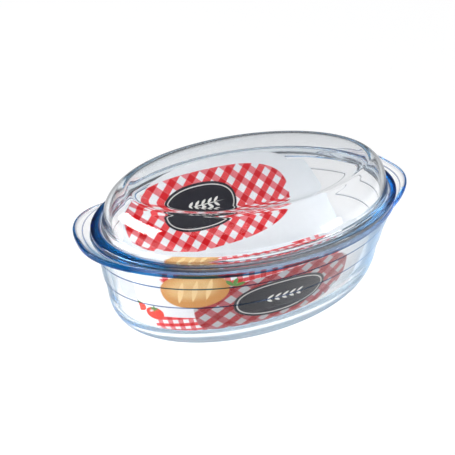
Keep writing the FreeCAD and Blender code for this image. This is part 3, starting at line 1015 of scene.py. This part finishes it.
# %% [markdown]
# ## The front card: sheet and fold
# The sheet runs up the wall, turns round a small fold, and ends in a flap that lies flat
# and points inwards. Its four corners are rounded.

# %% Front card
FRONT_CORNER = 7.0
FOLD_RADIUS = 2.0
FLAP_WIDTH = 18.0
FOLD_START = FRONT_HEAD[2] - FOLD_RADIUS
FRONT_SHEET_TOP = FOLD_START + FOLD_RADIUS * math.pi / 2 + FLAP_WIDTH - FOLD_RADIUS
FRONT_ROWS, FRONT_COLUMNS = 24, 120
FLAP_ROWS = (9.0, 11.0)


def front_place(x, y):
    """The wall panel up to the fold, then round the fold, then flat and inwards."""
    angle = front_angle(x)
    turn = min(max((y - FOLD_START) / FOLD_RADIUS, 0.0), math.pi / 2)
    flat = max(y - FOLD_START - FOLD_RADIUS * math.pi / 2, 0.0)
    inset = FOLD_RADIUS * (1 - math.cos(turn)) + flat
    z = min(y, FOLD_START) + FOLD_RADIUS * math.sin(turn)
    share = (min(y, FOLD_START) - FRONT_FOOT[2]) / (FRONT_HEAD[2] - FRONT_FOOT[2])
    a, b = (FRONT_FOOT[i] + (FRONT_HEAD[i] - FRONT_FOOT[i]) * share - inset for i in (0, 1))
    at = Vector((a * math.cos(angle), b * math.sin(angle), z))
    flat_in, down = math.cos(turn), math.sin(turn)
    return at, Vector((-math.cos(angle) * flat_in, -math.sin(angle) * flat_in, -down))


def front_rows():
    left = front_lengths[int(FRONT_START * STEPS_PER_DEGREE)]
    right = front_lengths[int(FRONT_END * STEPS_PER_DEGREE)]
    foot, top = FRONT_FOOT[2], FRONT_SHEET_TOP
    corner_rows = [within for within, _ in rounded(6, 0, 90, FRONT_CORNER)]
    heights = {foot + (FOLD_START - foot) * i / FRONT_ROWS for i in range(FRONT_ROWS + 1)}
    heights |= {FOLD_START + FOLD_RADIUS * t for t in arc(6, 0, 90)}
    heights |= {foot + above for above in corner_rows}
    heights |= {top - below for below in (*FLAP_ROWS, *corner_rows)}
    rows = []
    for y in sorted(heights):
        near = min(y - foot, top - y)
        inset = 0.0
        if near < FRONT_CORNER:
            inset = FRONT_CORNER - math.sqrt(max(FRONT_CORNER ** 2 - (FRONT_CORNER - near) ** 2, 0.0))
        width = right - left - 2 * inset
        rows.append([(left + inset + width * i / FRONT_COLUMNS, y) for i in range(FRONT_COLUMNS + 1)])
    print("front card sheet", round(right - left, 1), "mm long and", round(top - foot, 1), "mm high")
    return rows


front_card = card("printed_front_card", front_rows(), front_place, CARD_THICKNESS, front_board)
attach(front_card, "dish")
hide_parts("front_card")

# %% [markdown]
# ## The back card
# A flat sheet that leans back at 60 degrees. Its foot rests on the floor of the dish and
# its shoulders on the far wall. A wide rounded tab rises from its top edge into the
# hollow of the lid.

# %% Back card
BACK_FOOT = Vector((0.0, 19.0, 6.7))
BACK_LEAN = math.radians(60)
BACK_SHOULDER = 89.72
CARD_GAP = 0.3
SHOULDER_ROUND = 4.0
TAB_HALF_WIDTH = 83.0
TAB_TIP_HALF_WIDTH = 0.6
TAB_RISE = 22.0
FOOT_ROWS_END = 20.0
BACK_ROWS, BACK_COLUMNS = 16, 96


def back_place(x, s):
    at = BACK_FOOT + Vector((x, s * math.cos(BACK_LEAN), s * math.sin(BACK_LEAN)))
    return at, Vector((0.0, math.sin(BACK_LEAN), -math.cos(BACK_LEAN)))


def back_half_width(s):
    """Half the sheet's width at length s up the sheet, which just clears the dish's inside."""
    reaches = []
    for side in (0, 1):
        at, inward = back_place(0.0, s)
        spot = at + inward * CARD_THICKNESS * side
        a, b = (half - CARD_GAP for half in inner_oval(spot.z - CARD_GAP))
        reaches.append(a * math.sqrt(1 - (spot.y / b) ** 2))
    return min(reaches)


def back_rows():
    round_start = BACK_SHOULDER - SHOULDER_ROUND
    middle = round_start - FOOT_ROWS_END
    heights = {FOOT_ROWS_END * (1 - math.cos(t)) for t in arc(14, 0, 90)}
    heights |= {FOOT_ROWS_END + middle * i / BACK_ROWS for i in range(BACK_ROWS + 1)}
    heights |= {round_start + SHOULDER_ROUND * math.sin(t) for t in arc(6, 0, 90)}
    rows = []
    for s in sorted(heights):
        half = back_half_width(s)
        if s > round_start:
            half -= SHOULDER_ROUND - math.sqrt(max(SHOULDER_ROUND ** 2 - (s - round_start) ** 2, 0.0))
        shares = [math.cos(math.pi * (1 - i / BACK_COLUMNS)) for i in range(BACK_COLUMNS + 1)]
        rows.append([(half * share, s) for share in shares])
    widest = rows[-1]
    for t in arc(14, 0, 90)[1:]:
        rise = TAB_RISE * math.sin(t)
        reach = max(TAB_HALF_WIDTH * math.cos(t), TAB_TIP_HALF_WIDTH)
        rows.append([(reach * x / widest[-1][0], BACK_SHOULDER + rise) for x, _ in widest])
    print("back card sheet", round(2 * max(row[-1][0] for row in rows), 1), "mm wide")
    return rows


back_card = card("printed_back_card", back_rows(), back_place, CARD_THICKNESS, back_board)
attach(back_card, "dish")
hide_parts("back_card")

# %% [markdown]
# ## Table
# Glass is only as good as what it mirrors. The table glows white, as a light table does, so
# the clear walls stay pale, and it is a little dimmer where the dish itself shades it.

# %% Table
TABLE_HALF = 6.0
TABLE_Z = -0.0004
TABLE_GREY, TABLE_MOTTLE = (0.22, 0.22, 0.22, 1.0), (0.20, 0.20, 0.20, 1.0)
TABLE_LIT, TABLE_SHADE = (1.0, 1.0, 1.0, 1.0), (0.80, 0.82, 0.85, 1.0)
TABLE_GLOW = 0.93
SHADE_CENTRE = (0.02, 0.05)
SHADE_HALF = (0.155, 0.127)


def table_finish():
    finish = bpy.data.materials.new("table_white")
    finish.use_nodes = True
    g = Graph(finish.node_tree)
    place = g.add("ShaderNodeTexCoord", out="Object")
    x, y, _ = g.split(place)
    from_middle = ((x - SHADE_CENTRE[0]) / SHADE_HALF[0]) ** 2.0
    from_middle = from_middle + ((y - SHADE_CENTRE[1]) / SHADE_HALF[1]) ** 2.0
    body = finish.node_tree.nodes["Principled BSDF"]
    mottled = g.mix(0.25 * g.noise(place, 3.0, 2.0), TABLE_GREY, TABLE_MOTTLE)
    g.fill(body.inputs["Base Color"], mottled)
    g.fill(body.inputs["Roughness"], 0.75)
    g.fill(body.inputs["Emission Color"], g.mix(g.soft_step(from_middle, 0.7, 1.0), TABLE_SHADE, TABLE_LIT))
    g.fill(body.inputs["Emission Strength"], TABLE_GLOW)
    return finish


corners = [(x * TABLE_HALF, y * TABLE_HALF, TABLE_Z) for x, y in ((-1, -1), (1, -1), (1, 1), (-1, 1))]
table_mesh = bpy.data.meshes.new("table_top")
table_mesh.from_pydata(corners, [], [(0, 1, 2, 3)])
table_mesh.materials.append(table_finish())
table_top = placed("table_top", table_mesh)
print("table", 2 * TABLE_HALF, "m across")

# %% [markdown]
# ## Light
# Two windows, one long and one small, give the sharp highlights on the lid, and a softbox
# in front lights the cards. The windows are mirrored in the glass but don't light what is
# matt, and the softbox is the other way round, so each can be set by itself.

# %% Light
def softbox(name, place, aim, size, power, lights_board):
    """A lamp that lights the boards, or else one that the glass mirrors."""
    lamp = bpy.data.lights.new(name, "AREA")
    lamp.shape = "RECTANGLE"
    lamp.size, lamp.size_y = size
    lamp.energy = power
    holder = placed(name, lamp)
    holder.location = place
    holder.rotation_euler = (Vector(aim) - Vector(place)).to_track_quat("-Z", "Y").to_euler()
    holder.visible_diffuse = lights_board
    holder.visible_glossy = not lights_board
    print(name, power, "W,", size[0], "by", size[1], "m")


softbox("left_window", (-1.66, 0.17, 1.0), (-0.12, -0.03, 0.115), (1.9, 0.85), 120.0, False)
softbox("right_window", (1.08, -1.13, 0.18), (0.02, -0.09, 0.1), (0.34, 0.24), 7.0, False)
softbox("front_softbox", (-0.5, -1.5, 1.7), (0.0, 0.0, 0.06), (1.3, 1.0), 6.0, True)

# %% [markdown]
# ## Room
# Above the table the room is dim, so the rims pick up dark lines. It is bright at the
# table's level, and turns a little lighter again overhead, as under a ceiling.

# %% Room
ROOM_LOW, ROOM_SIDES = (0.9, 0.9, 0.9, 1.0), (0.11, 0.11, 0.12, 1.0)
ROOM_CEILING = (0.35, 0.36, 0.38, 1.0)
world = bpy.data.worlds.new("studio")
bpy.context.scene.world = world
world.use_nodes = True
world.node_tree.nodes.clear()
sky = Graph(world.node_tree)
_, _, sky_height = sky.split(sky.add("ShaderNodeTexCoord", out="Generated"))
sky_sides = sky.mix(sky.soft_step(sky_height, -0.05, 0.14), ROOM_LOW, ROOM_SIDES)
sky_colour = sky.mix(sky.soft_step(sky_height, 0.70, 0.90), sky_sides, ROOM_CEILING)
sky_light = sky.add("ShaderNodeBackground", None, {"Color": sky_colour, "Strength": 1.0})
sky.end("ShaderNodeOutputWorld", {"Surface": sky_light})
print("room ready")

# %% [markdown]
# ## Camera
# A lens a little longer than normal looks down from above the left front corner, close
# enough for the near ear to look larger than the far one. It is tilted by a hair.

# %% Camera
SENSOR, LENS = 36.0, 44.103
EYE = Vector((-0.234410, -0.391819, 0.344563))
AIM = Vector((-0.022879, 0.005819, 0.065209))
ROLL = math.radians(0.098)
camera_data = bpy.data.cameras.new("camera")
camera_data.sensor_width = SENSOR
camera_data.lens = LENS
camera = placed("camera", camera_data)
forward = (AIM - EYE).normalized()
level = forward.cross(Vector((0, 0, 1))).normalized()
raised = level.cross(forward)
across = level * math.cos(ROLL) + raised * math.sin(ROLL)
back = -forward
upward = back.cross(across)
pose = Matrix((across, upward, back)).transposed().to_4x4()
pose.translation = EYE
camera.matrix_world = pose
bpy.context.scene.camera = camera
print("camera at", tuple(round(value, 3) for value in EYE))

# %% [markdown]
# ## Light paths
# A ray that crosses the lid, the card's gap and the dish meets many walls of glass. It may
# turn often before it is given up, or the glass goes black where walls overlap. Clamping
# the indirect light and denoising keep the stray bright dots out.

# %% Light paths
GLASS_BOUNCES, CLEAR_BOUNCES = 80, 24
bpy.context.scene.view_settings.view_transform = "Standard"
cycles = bpy.context.scene.cycles
cycles.use_denoising = True
cycles.max_bounces = GLASS_BOUNCES
cycles.transmission_bounces = GLASS_BOUNCES
cycles.glossy_bounces = GLASS_BOUNCES
cycles.transparent_max_bounces = CLEAR_BOUNCES
cycles.sample_clamp_indirect = 6.0
print("a ray may turn", GLASS_BOUNCES, "times in the glass")

# %% [markdown]
# ## Last update
# The view layer is brought up to date once more. The visual model must fill the same
# box as the solid model.

# %% Last update
bpy.context.view_layer.update()
